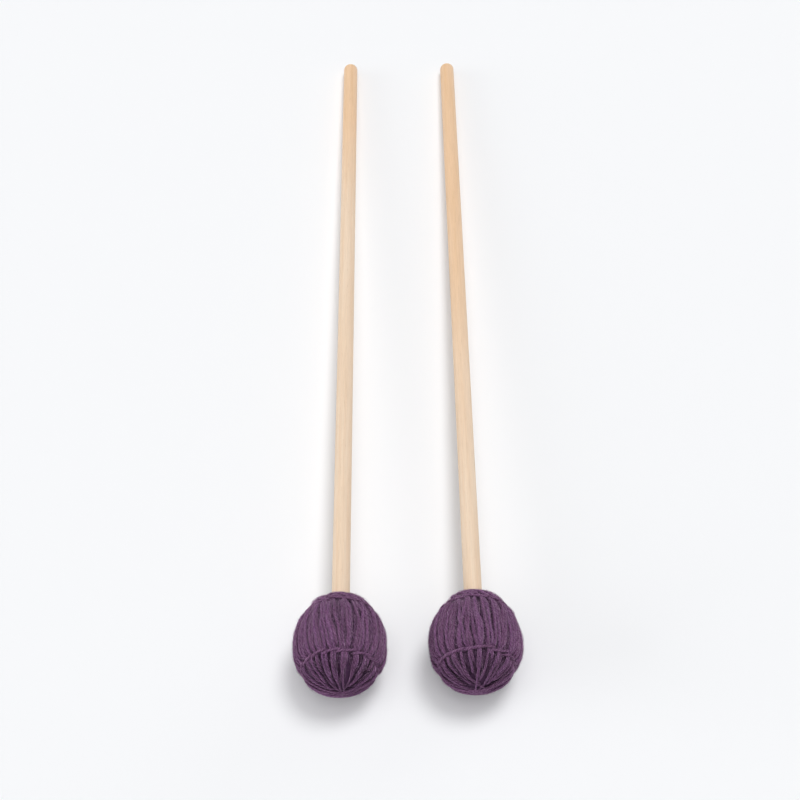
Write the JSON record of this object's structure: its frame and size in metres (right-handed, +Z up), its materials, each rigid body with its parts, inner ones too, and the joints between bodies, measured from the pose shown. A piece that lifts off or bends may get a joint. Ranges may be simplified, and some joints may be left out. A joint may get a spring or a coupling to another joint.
{
  "type": "yarn mallet pair",
  "caption": "Pair of keyboard percussion mallets with egg-shaped yarn-wound heads stitched at tip and neck, on slim round birch shafts.",
  "frame": {"origin": "on the floor, under the middle of the bounding box of the pair", "axes": "+Y from the heads to the butt ends, along the shafts as seen from above; +Z up; +X to the right of someone who looks along +Y"},
  "size_m": [0.0978, 0.4308, 0.0395],
  "materials": {
    "birch": "smooth sanded birch, satin",
    "core_rubber": "moulded rubber, matt",
    "inner_yarn": "deep purple yarn in the shade of the layer above",
    "outer_yarn": "soft plied purple yarn",
    "stitch_yarn": "the same purple yarn, sewn"
  },
  "bodies": {
    "left_mallet": {"left_shaft": "birch", "left_core": "core_rubber", "left_inner_yarn": "inner_yarn", "left_outer_yarn": "outer_yarn", "left_tip_stitch": "stitch_yarn", "left_neck_stitch": "stitch_yarn"},
    "right_mallet": {"right_shaft": "birch", "right_core": "core_rubber", "right_inner_yarn": "inner_yarn", "right_outer_yarn": "outer_yarn", "right_tip_stitch": "stitch_yarn", "right_neck_stitch": "stitch_yarn"}
  },
  "joints": [
    {"name": "right_mallet_lift", "type": "slide", "parent": "left_mallet", "child": "right_mallet", "axis": [0, 0, 1], "range_m": [0, 0.15]}
  ]
}
